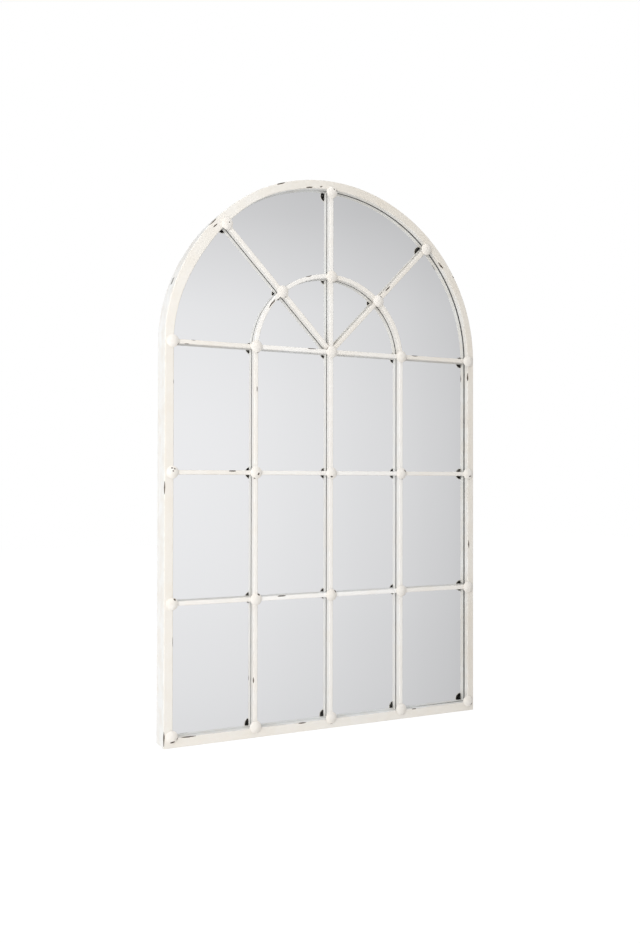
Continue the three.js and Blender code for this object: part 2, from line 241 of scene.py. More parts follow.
def facing_out(piece, weld=0.0):
    """Makes the faces look outwards, after joining the points that lie within weld (mm)."""
    work = bmesh.new()
    work.from_mesh(piece.data)
    if weld > 0:
        bmesh.ops.remove_doubles(work, verts=work.verts, dist=weld * MM)
    bmesh.ops.recalc_face_normals(work, faces=work.faces)
    work.to_mesh(piece.data)
    work.free()
    return piece


def ring_faces(count, total, closed=False):
    """Quads between neighbouring rings of count points each."""
    faces = []
    for i in range(total if closed else total - 1):
        a = i * count
        b = ((i + 1) % total) * count
        for j in range(count):
            k = (j + 1) % count
            faces.append((a + j, b + j, b + k, a + k))
    return faces


def end_faces(count, total):
    """Flat ends on the first and the last ring."""
    last = (total - 1) * count
    return [tuple(range(count)), tuple(last + j for j in reversed(range(count)))]


def arc(cx, cy, radius, start, end, steps):
    """Points on an arc of a section, angles in degrees."""
    angles = np.radians(np.linspace(start, end, steps + 1))
    return [(cx + radius * math.cos(a), cy + radius * math.sin(a)) for a in angles]


class Section:
    """A closed section of (outward, depth) points, with what the paint needs to know of each: its
    distance round the section, how near it is to a fold, and whether it is on the unpainted inside."""

    def __init__(self, points, folds, inside):
        self.count = len(points)
        self.across = np.array([p[0] for p in points])
        self.depth = np.array([p[1] for p in points])
        sides = [math.dist(a, b) for a, b in zip(points, points[1:])]
        self.girth = np.concatenate([[0.0], np.cumsum(sides)])
        near = [max(math.exp(-(math.dist(p, fold) / EDGE_REACH) ** 2) for fold in folds) for p in points]
        self.edge = np.array(near)
        self.inside = np.array([1.0 if inside(p) else 0.0 for p in points])
        near_back = (self.depth > LIP - LIP_ZONE) & (self.depth < LIP + LIP_MARGIN)
        self.lip = near_back & (self.across < HEM + LIP_MARGIN)

    def at(self, centre, outward, extra):
        """The section's points on one ring; those of the lip go back by the extra depth."""
        x = centre[0] + self.across * outward[0]
        z = centre[1] + self.across * outward[1]
        return np.stack([x, -FRAME_DEPTH + self.depth + extra * self.lip, z], 1)

    def lay(self, distance, seed):
        """Texture coordinates on one ring: along the run, round the section and apart by piece."""
        along = np.full(self.count, distance)
        apart = np.full(self.count, seed * PIECE_APART)
        return np.stack([along, self.girth, apart], 1)


def sweep(name, section, rings, seed, marks=(), closed=False, glaze_and_shade=None):
    """Runs a section along rings of (centre, outward, distance along, extra depth of its lip). Open
    runs get flat ends. With no glaze and shade given, the frame's own glaze and painted shade is laid on it."""
    total = len(rings)
    vertices = np.concatenate([section.at(centre, outward, extra) for centre, outward, _, extra in rings])
    lay = np.concatenate([section.lay(distance, seed) for _, _, distance, _ in rings])
    faces = ring_faces(section.count, total, closed)
    if not closed:
        faces += end_faces(section.count, total)
    points = vertices[:, [0, 2]]
    front = np.clip(1 - (vertices[:, 1] + FRAME_DEPTH) / WORN_DEPTH, 0, 1)
    facts = {
        "lay": lay * MM,
        "edge": np.tile(section.edge, total),
        "inside": np.tile(section.inside, total),
        "worn": worn_amount(points, marks) * front,
        "glaze_and_shade": glaze_and_shade_amount(points) if glaze_and_shade is None else np.full(len(points), glaze_and_shade),
    }
    return facing_out(build(name, vertices, faces, facts))


def straight_rings(start, end):
    """Rings of a straight run between two points (x, z)."""
    start, end = np.array(start, float), np.array(end, float)
    length = np.linalg.norm(end - start)
    along = (end - start) / length
    outward = np.array([along[1], -along[0]])
    steps = max(2, int(round(length / STEP)))
    return [(start + along * length * i / steps, outward, length * i / steps, 0.0) for i in range(steps + 1)]


# ---------------------------------------------------------------- the frame
def frame_outline():
    """Outer wall, face, return lip and hem, as (outward from the inner edge, depth)."""
    s, r = FRAME_SHEET, FRAME_FOLD
    points = [(FACE - 0.4, FRAME_DEPTH)]
    points += [(FACE, d) for d in (54.6, 44, 32, 20, 12, 8, 5, 3)]
    points += arc(FACE - r, r, r, 0, -90, 5)
    points += [(x, 0.0) for x in np.arange(17, 2.5, -1.5)]
    points += arc(r, r, r, -90, -180, 5)
    points += [(0.0, d) for d in (4, 6.5, 9, 12)]
    points += arc(0.5, LIP - 0.5, 0.5, 180, 90, 3)
    points += [(5.0, LIP), (HEM, LIP), (HEM, LIP - s), (s + 1, LIP - s), (s, LIP - s - 1), (s, s + 0.6)]
    points += [(s + 0.6, s), (10.0, s), (FACE - s - 0.6, s), (FACE - s, s + 0.6)]
    points += [(FACE - s, d) for d in (12, 20, 32, 44)]
    points += [(FACE - s, FRAME_DEPTH)]
    return points


def inside_frame(point):
    """Whether a point of the frame's section is out of sight behind the face."""
    across, depth = point
    return 0.3 < across < FACE - FRAME_SHEET * 0.9 and depth > FRAME_FOLD


def eased(value):
    """0 to 1 with a soft start and end."""
    value = min(1.0, max(0.0, value))
    return value * value * (3 - 2 * value)


def frame_ring(inner, outer, distance, extra):
    """One ring of the frame: where the inner edge of its face is, the way out to the outer wall (one
    face width long), the distance along and the extra depth of the lip."""
    inner, outer = np.array(inner, float), np.array(outer, float)
    return inner, (outer - inner) / FACE, distance, extra


JAMB_STEPS = int(round(-INNER_BOTTOM / STEP))
TO_ARCH_END = -LOW + HALF_WIDTH * math.pi  # distance along, up the left jamb and over the arch


def left_jamb_rings():
    """Up the left jamb; the first ring is the mitre at its lower corner."""
    rings = []
    for i in range(JAMB_STEPS):
        z = LOW * (1 - i / JAMB_STEPS)
        outer_z = -JAMB_LENGTH if i == 0 else z
        rings.append(frame_ring((-INNER_HALF, z), (-HALF_WIDTH, outer_z), z - LOW, LIP_CLOSED))
    return rings


def arch_rings():
    """Over the arch from left to right, with the wide shoulder."""
    rings = []
    steps = 2 * int(round(math.pi * HALF_WIDTH / STEP / 2))
    for i in range(steps + 1):
        angle = math.pi * (i / steps - 0.5)
        swell = eased(1 - abs(angle - SHOULDER_AT) / SHOULDER_REACH)
        trim = RIGHT_JAMB_TRIM * eased(angle / (math.pi / 2))
        way = np.array([math.sin(angle), math.cos(angle)])
        inner = way * (INNER_HALF - SHOULDER_SWELL * swell + trim)
        outer = way * (HALF_WIDTH - SHOULDER_TUCK * swell)
        extra = LIP_CLOSED * eased((LIP_OPENS_AT - angle) / LIP_OPENS_OVER)
        rings.append(frame_ring(inner, outer, -LOW + HALF_WIDTH * math.pi * i / steps, extra))
    return rings


def right_jamb_rings():
    """Down the right jamb to the mitre at its lower corner."""
    rings = []
    for i in range(1, JAMB_STEPS + 1):
        z = LOW * i / JAMB_STEPS
        outer_z = -JAMB_LENGTH if i == JAMB_STEPS else z
        rings.append(frame_ring((RIGHT_HALF, z), (HALF_WIDTH, outer_z), TO_ARCH_END - z, 0.0))
    return rings


def bottom_rings():
    """Back along the bottom rail from right to left."""
    rings = []
    steps = int(round(2 * INNER_HALF / STEP))
    for i in range(1, steps):
        x = RIGHT_HALF - (INNER_HALF + RIGHT_HALF) * i / steps
        extra = LIP_CLOSED * eased((RIGHT_HALF - x) / LIP_OPENS_BELOW)
        rings.append(frame_ring((x, LOW), (x, -JAMB_LENGTH), TO_ARCH_END - LOW + RIGHT_HALF - x, extra))
    return rings


once_round = left_jamb_rings() + arch_rings() + right_jamb_rings() + bottom_rings()
frame_folds = [(FACE, 0), (0, 0), (FACE, FRAME_DEPTH), (0, LIP)]
frame_section = Section(frame_outline(), frame_folds, inside_frame)
frame_piece = sweep("frame", frame_section, once_round, 1, WORN_FRAME, closed=True)
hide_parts("frame_arch", "frame_jamb_left", "frame_jamb_right", "frame_bottom_rail")


def foam_strip():
    """The foam between the lip's hem and the glass, pressed flat where the lip comes close."""
    back = GLASS_SETBACK - FOAM_OFF_GLASS
    outline = [(0.5, LIP), (5.0, LIP), (9.5, LIP), (9.5, back), (5.0, back), (0.5, back)]
    section = Section(outline, [(0.5, LIP)], lambda point: True)
    return sweep("foam_strip", section, once_round, 40, closed=True, glaze_and_shade=0.0)


foam_piece = foam_strip()
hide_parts("cushion_arch", "cushion_left", "cushion_right", "cushion_bottom")


# ---------------------------------------------------------------- the tabs that hold the board
def tab_outline():
    """A strip bent over the back of the board and welded to the outer wall, as (inward from the
    wall, depth)."""
    front = BACK_OF_BOARD + 2 * GAP
    t, r = TAB_SHEET, TAB_BEND
    outer_bend = arc(t + r, front + r, r + t, 180, 270, 4)
    inner_bend = arc(t + r, front + r, r, 270, 180, 4)
    end = [(TAB_REACH, front), (TAB_REACH, front + t)]
    return [(0.0, front + TAB_LEG)] + outer_bend + end + inner_bend + [(t, front + TAB_LEG)]


def tab_places():
    """Where the tabs sit on the outer wall: x, z and the way in."""
    places = []
    for angle in (-70, -35, 0, 35, 70):
        a = math.radians(angle)
        places.append((HALF_WIDTH * math.sin(a), HALF_WIDTH * math.cos(a), -math.sin(a), -math.cos(a)))
    for side in (-1, 1):
        for row in (-0.5, -1.5, -2.5):
            places.append((side * HALF_WIDTH, row * ROW_PITCH, -side, 0))
    for column in (-1.5, 0, 1.5):
        places.append((column * COLUMN_PITCH, -JAMB_LENGTH, 0, 1))
    return places


def tabs():
    """All the board tabs as one piece, each a little shorter at its two side edges."""
    outline = tab_outline()
    across = [(-0.5, 0.7), (-0.46, 0.0), (0.46, 0.0), (0.5, 0.7)]  # share of the width, shortening in mm
    vertices, faces, lay = [], [], []
    for number, (x, z, nx, nz) in enumerate(tab_places()):
        base = len(vertices)
        for share, shorter in across:
            for inward, depth in outline:
                reach = FRAME_SHEET - TAB_SUNK + min(inward, TAB_REACH - shorter)
                px = x + nx * reach - nz * TAB_WIDTH * share
                pz = z + nz * reach + nx * TAB_WIDTH * share
                vertices.append((px, -FRAME_DEPTH + depth, pz))
                lay.append((TAB_WIDTH * share, inward + depth, number * TAB_APART))
        own = ring_faces(len(outline), len(across)) + end_faces(len(outline), len(across))
        faces += [tuple(base + corner for corner in face) for face in own]
    none = np.zeros(len(vertices))
    facts = {"lay": np.array(lay) * MM, "edge": none, "inside": none + 1, "worn": none, "glaze_and_shade": none}
    return facing_out(build("board_tabs", vertices, faces, facts))


tab_piece = tabs()


# ---------------------------------------------------------------- the bars
def bar_section(bar_depth):
    """An open-backed channel with rounded folds."""
    h, s, r = HALF_BAR, BAR_SHEET, BAR_FOLD
    outer = [(h, bar_depth), (h, 9.0), (h, 6.0), (h, 3.5)] + arc(h - r, r, r, 0, -90, 4)
    outer += [(2.0, 0.0), (1.0, 0.0)]
    inner = [(h - s - 0.5, s), (h - s, s + 0.5), (h - s, 7.0), (h - s, bar_depth)]
    mirrored_outer = [(-x, d) for x, d in reversed(outer)]
    mirrored_inner = [(-x, d) for x, d in reversed(inner)]
    outline = outer + [(0.0, 0.0)] + mirrored_outer + mirrored_inner + inner
    rubbed = [(h, 0), (-h, 0), (h, BAR_RUBBED), (-h, BAR_RUBBED)]
    return Section(outline, rubbed, inside_bar)


def inside_bar(point):
    """Whether a point of a bar's section is in its hollow."""
    across, depth = point
    return abs(across) < HALF_BAR - BAR_SHEET * 0.5 and depth > BAR_SHEET * 0.5


bar_pieces = []


def lay_bar(node, rings, seed, depth=UPRIGHT_DEPTH):
    """One bar in place of the CAD node of that name."""
    # The bar's glaze and painted shade, by its name.
    glaze_and_shade = GLAZE_AND_SHADE_BARS.get(node, 0.0)
    piece = sweep("bar_" + node, bar_section(depth), rings, seed, WORN_BARS, glaze_and_shade=glaze_and_shade)
    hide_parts(node)
    bar_pieces.append(piece)


def lay_uprights():
    foot = INNER_BOTTOM + GAP
    lay_bar("centre_bar", straight_rings((0, foot), (0, INNER_HALF - GAP - CENTRE_BAR_SHORT)), 2)
    lay_bar("upright_left", straight_rings((-COLUMN_PITCH, foot), (-COLUMN_PITCH, HALF_BAR)), 3)
    lay_bar("upright_right", straight_rings((COLUMN_PITCH, foot), (COLUMN_PITCH, HALF_BAR)), 4)


def lay_crossbars():
    """Four short bars in each of the three rows."""
    wall = INNER_HALF - GAP
    stop = HALF_BAR + GAP
    bays = [
        ("outer_left", -wall, -COLUMN_PITCH - stop),
        ("inner_left", -COLUMN_PITCH + stop, -stop),
        ("inner_right", stop, COLUMN_PITCH - stop),
        ("outer_right", COLUMN_PITCH + stop, wall),
    ]
    seed = 5
    for row, height in (("spring", 0.0), ("middle", -ROW_PITCH), ("lower", -2 * ROW_PITCH)):
        for bay, start, end in bays:
            name = "crossbar_%s_%s" % (row, bay)
            lay_bar(name, straight_rings((start, height), (end, height)), seed, CROSSBAR_DEPTH)
            seed += 1


def lay_spokes():
    for side, sign, seed in (("left", -1, 17), ("right", 1, 18)):
        direction = np.array([sign * math.sin(SPOKE_ANGLE), math.cos(SPOKE_ANGLE)])
        rings = straight_rings(direction * SPOKE_START, direction * (INNER_HALF - GAP - SPOKE_SHORT))
        lay_bar("spoke_" + side, rings, seed, SPOKE_DEPTH[side])


def fan_rings(start, end):
    """Rings of the inner half-round between two angles from vertical, about its own centre."""
    steps = max(6, int(round(FAN_RADIUS * abs(end - start) / FAN_STEP)))
    centre = np.array([0, -FAN_DROP])
    rings = []
    for i in range(steps + 1):
        angle = start + (end - start) * i / steps
        radial = np.array([math.sin(angle), math.cos(angle)])
        rings.append((centre + radial * FAN_RADIUS, radial, FAN_RADIUS * (angle - start), 0.0))
    return rings


def hub_to_fan(angle):
    """The distance from the hub to the inner half-round, at an angle from vertical."""
    fall = FAN_DROP * math.cos(angle)
    return -fall + math.sqrt(fall * fall + FAN_RADIUS ** 2 - FAN_DROP ** 2)


def lay_fan():
    """The inner half-round in four pieces, clear of the spokes, the centre bar and the crossbars."""
    crossing = hub_to_fan(SPOKE_ANGLE)
    at_spoke = math.atan2(crossing * math.sin(SPOKE_ANGLE), crossing * math.cos(SPOKE_ANGLE) + FAN_DROP)
    half_room = (HALF_BAR + GAP) / FAN_RADIUS
    low_end = math.acos((HALF_BAR + GAP + FAN_DROP) / FAN_RADIUS)
    lay_bar("fan_arc_outer_left", fan_rings(-low_end, -at_spoke - half_room), 30)
    lay_bar("fan_arc_inner_left", fan_rings(-at_spoke + half_room, -half_room), 31)
    lay_bar("fan_arc_inner_right", fan_rings(half_room, at_spoke - half_room), 32)
    lay_bar("fan_arc_outer_right", fan_rings(at_spoke + half_room, low_end), 33)


lay_uprights()
lay_crossbars()
lay_spokes()
lay_fan()


# ---------------------------------------------------------------- the caps
def dome_profile():
    """Half section of a cap, from its top over the rim to the middle of its hollow: (radius,
    height above its seat, 1 where it is the unpainted hollow)."""
    r, skirt, t = CAP_RADIUS, CAP_SKIRT, CAP_SHEET
    rise = CAP_HEIGHT - skirt
    shares = np.linspace(0, 1, 13)
    outside = [(r * share, skirt + rise * (1 - share ** DOME_POWER), 0.0) for share in shares]
    outside[-1] = (r - 0.25, skirt + 0.3, 0.0)
    rim = [(r, skirt - 0.3, 0.0), (r, 0.7, 0.0), (r - 0.15, 0.2, 0.0)]
    rim += [(r - 0.5, 0.0, 0.0), (r - t, 0.05, 0.0)]
    hollow = []
    for share in np.linspace(1, 0, 8):
        hollow.append(((r - t) * share, 0.3 + (CAP_HEIGHT - t - 0.3) * (1 - share ** DOME_POWER), 1.0))
    return outside + rim + hollow


def cap_marks(name):
    """The worn marks of one cap, about its middle."""
    marks = []
    for cap, angle, out, half_length, half_width in WORN_CAPS:
        if cap == name:
            a = math.radians(angle)
            x = out * CAP_RADIUS * math.cos(a)
            z = out * CAP_RADIUS * math.sin(a)
            marks.append((x, z, half_length - CAP_MARK_BORDER, half_width - CAP_MARK_BORDER, -angle))
    return marks


def dented(radius, height, wobble):
    """The radius and height of a point of a cap, a little out of true."""
    share = (radius / CAP_RADIUS) ** 2
    dent = wobble * CAP_DENT_DEPTH * (1 - share) * min(1, radius / CAP_TOP_CALM)
    return radius * (1 + CAP_OUT_OF_ROUND * wobble * share), min(max(height + dent, 0), CAP_HEIGHT)


def cap_piece(name, x, z, number):
    """One cap: a pressed dome with a hollow back."""
    rng = np.random.default_rng(number + CAP_SEED)
    dents = rng.normal(0, 0.10, CAP_DENTS)
    phase = rng.uniform(0, 2 * math.pi, CAP_DENTS)
    angles = [2 * math.pi * i / CAP_SIDES for i in range(CAP_SIDES)]
    wobbles = [sum(dents[k] * math.cos((k + 1) * a + phase[k]) for k in range(CAP_DENTS)) for a in angles]
    profile = dome_profile()
    vertices, lay, edge, inside, place = [], [], [], [], []
    reach = 0.0
    previous = profile[0]
    for radius, height, hollow in profile:
        reach += math.dist((radius, height), previous[:2])
        previous = (radius, height)
        near_rim = math.exp(-((CAP_RADIUS - radius) / CAP_RIM_REACH) ** 2)
        for a, wobble in zip(angles, wobbles):
            r, h = dented(radius, height, wobble)
            px, pz = r * math.cos(a), r * math.sin(a)
            vertices.append((x + px, -FRAME_DEPTH - GAP - h, z + pz))
            lay.append((a * CAP_RADIUS * CAP_ROUND, reach, CAP_APART * number))
            edge.append(0.0 if hollow else CAP_RIM_RUBBED * near_rim)
            inside.append(hollow)
            place.append((px, pz))
    facts = {
        "lay": np.array(lay) * MM,
        "edge": edge,
        "inside": inside,
        "worn": worn_amount(np.array(place), cap_marks(name)) * (1 - np.array(inside)),
        "glaze_and_shade": np.zeros(len(place)),
    }
    faces = ring_faces(CAP_SIDES, len(profile))
    piece = facing_out(build("dome_" + name, vertices, faces, facts), CAP_WELD)
    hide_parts("cap_" + name)
    return piece


def all_caps():
    """The five caps of each row, then the arch's and the inner half-round's."""
    pitch = COLUMN_PITCH
    jamb = HALF_WIDTH - CAP_INSET_JAMB
    columns = {"far_left": -jamb, "left": -pitch, "centre": 0, "right": pitch, "far_right": jamb}
    bottom = -JAMB_LENGTH + CAP_INSET_BOTTOM
    rows = {"spring": 0, "middle": -ROW_PITCH, "lower": -2 * ROW_PITCH, "bottom": bottom}
    caps = []
    for row, z in rows.items():
        for column, x in columns.items():
            caps.append(cap_piece(row + "_" + column, x, z, len(caps)))
    for side, angle in (("left", -SPOKE_ANGLE), ("top", 0.0), ("right", SPOKE_ANGLE)):
        for run, reach in (("arch_", HALF_WIDTH - CAP_INSET_ARCH), ("fan_", hub_to_fan(angle))):
            caps.append(cap_piece(run + side, reach * math.sin(angle), reach * math.cos(angle), len(caps)))
    return caps


cap_pieces = all_caps()


# ---------------------------------------------------------------- materials
class Nodes:
    """Short calls for building the node tree of a material or a world."""

    def __init__(self, owner):
        owner.use_nodes = True
        self.tree = owner.node_tree
        self.tree.nodes.clear()

    def add(self, kind, **settings):
        node = self.tree.nodes.new(kind)
        for key, value in settings.items():
            setattr(node, key, value)
        return node

    def link(self, source, target):
        self.tree.links.new(source, target)

    def feed(self, value, socket):
        """Links an output to the socket, or sets the socket's own number or colour."""
        if isinstance(value, bpy.types.NodeSocket):
            self.link(value, socket)
        elif isinstance(value, tuple) and len(value) < len(socket.default_value):
            socket.default_value = (*value, 1.0)
        else:
            socket.default_value = value

    def attribute(self, name, output="Fac"):
        return self.add("ShaderNodeAttribute", attribute_name=name).outputs[output]

    def math(self, operation, a, b):
        node = self.add("ShaderNodeMath", operation=operation)
        self.feed(a, node.inputs[0])
        self.feed(b, node.inputs[1])
        return node.outputs[0]

    def vector_math(self, operation, a, b):
        node = self.add("ShaderNodeVectorMath", operation=operation)
        self.feed(a, node.inputs[0])
        self.feed(b, node.inputs[1])
        return node.outputs[0]

    def stretch(self, vector, scale):
        return self.vector_math("MULTIPLY", vector, scale)

    def split(self, vector):
        """The X, Y and Z outputs of a vector."""
        node = self.add("ShaderNodeSeparateXYZ")
        self.link(vector, node.inputs[0])
        return node.outputs

    def noise(self, vector, scale, detail=3.0, roughness=0.55, distortion=0.0):
        node = self.add("ShaderNodeTexNoise")
        self.feed(vector, node.inputs["Vector"])
        node.inputs["Scale"].default_value = scale
        node.inputs["Detail"].default_value = detail
        node.inputs["Roughness"].default_value = roughness
        node.inputs["Distortion"].default_value = distortion
        return node.outputs["Fac"]

    def cells(self, vector, scale):
        node = self.add("ShaderNodeTexVoronoi", feature="F1")
        self.feed(vector, node.inputs["Vector"])
        node.inputs["Scale"].default_value = scale
        return node.outputs["Distance"]

    def span(self, value, low, high, to_low=0.0, to_high=1.0, curve="SMOOTHSTEP"):
        """The value from low to high, spread over another range."""
        node = self.add("ShaderNodeMapRange", interpolation_type=curve)
        self.feed(value, node.inputs["Value"])
        node.inputs["From Min"].default_value = low
        node.inputs["From Max"].default_value = high
        node.inputs["To Min"].default_value = to_low
        node.inputs["To Max"].default_value = to_high
        return node.outputs["Result"]

    def mix(self, factor, a, b, blend_type="MIX"):
        node = self.add("ShaderNodeMix", data_type="RGBA", blend_type=blend_type)
        self.feed(factor, node.inputs[0])
        self.feed(a, node.inputs[6])
        self.feed(b, node.inputs[7])
        return node.outputs[2]

    def blend(self, factor, a, b):
        node = self.add("ShaderNodeMix", data_type="FLOAT")
        self.feed(factor, node.inputs[0])
        self.feed(a, node.inputs[2])
        self.feed(b, node.inputs[3])
        return node.outputs[0]

    def bump(self, height, strength, distance):
        node = self.add("ShaderNodeBump")
        node.inputs["Strength"].default_value = strength
        node.inputs["Distance"].default_value = distance
        self.feed(height, node.inputs["Height"])
        return node.outputs["Normal"]

    def glow(self, kind, color, strength=1.0):
        """An emission or background shader."""
        node = self.add(kind)
        self.feed(color, node.inputs["Color"])
        node.inputs["Strength"].default_value = strength
        return node.outputs[0]

    def mix_shaders(self, factor, a, b):
        node = self.add("ShaderNodeMixShader")
        self.link(factor, node.inputs[0])
        self.link(a, node.inputs[1])
        self.link(b, node.inputs[2])
        return node.outputs[0]


class Surface(Nodes):
    """The node tree of a new material, with its shader and output."""

    def __init__(self, name):
        self.material = bpy.data.materials.new(name)
        super().__init__(self.material)
        self.out = self.add("ShaderNodeOutputMaterial")
        self.shader = self.add("ShaderNodeBsdfPrincipled")
        self.link(self.shader.outputs[0], self.out.inputs["Surface"])

    def place(self):
        """Where a point lies on the object itself, in metres."""
        return self.add("ShaderNodeTexCoord").outputs["Object"]

    def set(self, **values):
        names = {"color": "Base Color", "roughness": "Roughness", "metallic": "Metallic", "normal": "Normal"}
        for key, value in values.items():
            self.feed(value, self.shader.inputs[names[key]])
        return self.material


def tinted(color, factors):
    return tuple(min(1, c * factor) for c, factor in zip(color, factors))


def paint_noises(n, lay):
    """The noises that the paint is made of."""
    return {
        "clumps": n.noise(lay, 16, 2.0),
        "broad": n.noise(lay, 22, 2.0),
        "spray": n.noise(lay, 40, 4.0, 0.65),
        "streak": n.noise(n.stretch(lay, (1.0, 5.0, 1.0)), 60, 3.0, 0.6),
        "flake": n.noise(n.stretch(lay, (1.0, 6.0, 1.0)), 62, 6.0, 0.62, 0.4),
        "patch": n.noise(lay, 75, 4.0, 0.6),
        "fine": n.noise(lay, 380, 5.0, 0.68),
        "grain": n.noise(lay, 420, 2.0, 0.5),
    }


def cream_layers(n, noise, front, side):
    """The cream itself: warmer on what faces forward, as a wash, and cooler and mostly lighter on the rest,
    as painted side light; with stains, chalky patches, brush streaks, glaze and painted shade."""
    # The sides get their own cooler, mostly lighter tone: painted light from the side, over a warmer wash on
    # the faces.
    forward = n.split(n.add("ShaderNodeNewGeometry").outputs["Normal"])["Y"]
    facing = n.span(forward, -0.35, -0.9)
    paint = n.mix(facing, side, front)
    stained = tinted(front, (0.975, 0.95, 0.915))
    chalky = tinted(front, (1.03, 1.04, 1.06))
    brushed = tinted(front, (0.96, 0.925, 0.87))
    paint = n.mix(n.span(noise["broad"], 0.35, 0.7, 0.0, 0.5), paint, stained)
    paint = n.mix(n.span(noise["patch"], 0.48, 0.75, 0.0, 0.4), paint, chalky)
    paint = n.mix(n.span(noise["streak"], 0.5, 0.8, 0.0, 0.3), paint, brushed)
    # Glaze and painted shade: darker and warmer above 0, chalkier and lighter below.
    glaze_and_shade = n.stretch(n.attribute("glaze_and_shade"), GLAZE_AND_SHADE_ON_CHANNELS)
    keep = n.vector_math("SUBTRACT", (1.0, 1.0, 1.0), glaze_and_shade)
    return n.vector_math("MULTIPLY", paint, keep)


def rubbed_thin(n, noise, edge, worn):
    """Where the undercoat shows through a little: near the folds and round the worn marks."""
    thin = n.math("MULTIPLY", n.span(edge, 0.3, 1.0), n.span(noise["patch"], 0.45, 0.62))
    halo = n.span(n.math("ADD", worn, n.math("MULTIPLY", noise["flake"], 0.6)), 0.72, 1.1)
    return n.math("MAXIMUM", n.math("MULTIPLY", thin, 0.3), n.math("MULTIPLY", halo, 0.5))


def chipped(n, noise, lay, edge, worn):
    """Where the paint is gone: at the worn marks, in a few loose flakes along the folds and in
    scattered specks."""
    ragged = n.math("MULTIPLY", n.math("SUBTRACT", noise["flake"], 0.5), 0.9)
    marked = n.span(n.math("ADD", worn, ragged), 0.30, 0.40)
    marked = n.math("MULTIPLY", marked, n.span(worn, 0.02, 0.12))
    loose = n.math("ADD", n.math("MULTIPLY", edge, 0.42), n.math("MULTIPLY", noise["flake"], 0.75))
    loose = n.math("ADD", loose, n.math("MULTIPLY", n.span(noise["clumps"], 0.5, 0.72), 0.17))
    loose = n.span(loose, 1.0, 1.05)
    specks = n.math("MULTIPLY", n.span(n.cells(lay, 190), 0.085, 0.05), n.span(noise["clumps"], 0.55, 0.7))
    return n.math("MAXIMUM", marked, n.math("MAXIMUM", loose, n.math("MULTIPLY", specks, 0.5)))


def worn_paint(name, front, side, inner):
    """Cream paint over steel: warmer where it faces forward and cooler on the sides, partly painted side
    light, chipped at folds and at the worn places, bare with a little overspray inside."""
    n = Surface(name)
    lay = n.attribute("lay", "Vector")
    edge = n.attribute("edge")
    worn = n.attribute("worn")
    inside = n.attribute("inside")
    noise = paint_noises(n, lay)

    undercoat = (0.56, 0.50, 0.42)
    paint = n.mix(rubbed_thin(n, noise, edge, worn), cream_layers(n, noise, front, side), undercoat)
    chip = chipped(n, noise, lay, edge, worn)
    metal = n.mix(n.span(noise["fine"], 0.35, 0.65), (0.055, 0.046, 0.04), (0.16, 0.115, 0.08))
    overspray = n.span(noise["spray"], 0.4, 0.7, 0.0, 0.4)
    bare = n.mix(overspray, inner, tinted(side, (0.75, 0.75, 0.75)))
    color = n.mix(inside, n.mix(chip, paint, metal), bare)

    roughness = n.blend(chip, n.span(noise["patch"], 0.3, 0.7, 0.44, 0.58), 0.66)
    roughness = n.blend(inside, roughness, 0.7)
    height = n.math("ADD", n.math("MULTIPLY", noise["streak"], 0.5), n.math("MULTIPLY", noise["grain"], 0.2))
    height = n.math("SUBTRACT", height, n.math("MULTIPLY", chip, 0.8))
    relief = n.bump(height, 0.25, 0.00025)
    return n.set(color=color, roughness=roughness, metallic=n.math("MULTIPLY", chip, 0.35), normal=relief)


def mirror_material():
    """Silvered glass: an even reflection with a trace of waviness and a few specks of dust."""
    n = Surface("silvered_glass")
    place = n.place()
    cloud = n.noise(place, 3.0, 3.0)
    dust = n.span(n.cells(place, 260), 0.05, 0.03)
    color = n.mix(cloud, (0.888, 0.902, 0.905), (0.905, 0.915, 0.915))
    color = n.mix(n.math("MULTIPLY", dust, 0.10), color, (0.80, 0.80, 0.79))
    relief = n.bump(n.noise(place, 2.2, 1.0), 0.02, 0.0006)
    return n.set(color=color, metallic=1.0, roughness=n.span(cloud, 0.3, 0.7, 0.0, 0.012), normal=relief)


def board_material():
    """Hardboard: pressed brown fibre with a faint screen pattern."""
    n = Surface("pressed_board")
    place = n.place()
    fibres = n.noise(n.stretch(place, (1.0, 1.0, 3.0)), 240, 6.0, 0.7, 0.8)
    flecks = n.noise(place, 900, 3.0, 0.6)
    blotch = n.noise(place, 6, 3.0)
    color = n.mix(n.span(fibres, 0.35, 0.7), (0.27, 0.165, 0.092), (0.40, 0.265, 0.16))
    color = n.mix(n.span(flecks, 0.6, 0.75, 0.0, 0.6), color, (0.50, 0.36, 0.23))
    color = n.mix(n.span(blotch, 0.35, 0.75, 0.0, 0.4), color, (0.25, 0.15, 0.085))
    wave = n.add("ShaderNodeTexWave", wave_type="BANDS", bands_direction="X")
    n.link(place, wave.inputs["Vector"])
    wave.inputs["Scale"].default_value = 160
    wave.inputs["Distortion"].default_value = 0.6
    relief = n.bump(n.math("ADD", n.math("MULTIPLY", wave.outputs["Fac"], 0.5), fibres), 0.35, 0.0004)
    return n.set(color=color, roughness=n.span(flecks, 0.3, 0.7, 0.78, 0.95), normal=relief)


def foam_material():
    """Black closed-cell foam strip."""
    n = Surface("black_foam")
    cells = n.cells(n.place(), 1500)
    color = n.mix(n.span(cells, 0.1, 0.6), (0.05, 0.05, 0.051), (0.12, 0.12, 0.121))
    relief = n.bump(cells, 0.6, 0.0003)
    return n.set(color=color, roughness=n.span(cells, 0.0, 0.7, 0.98, 0.8), normal=relief)


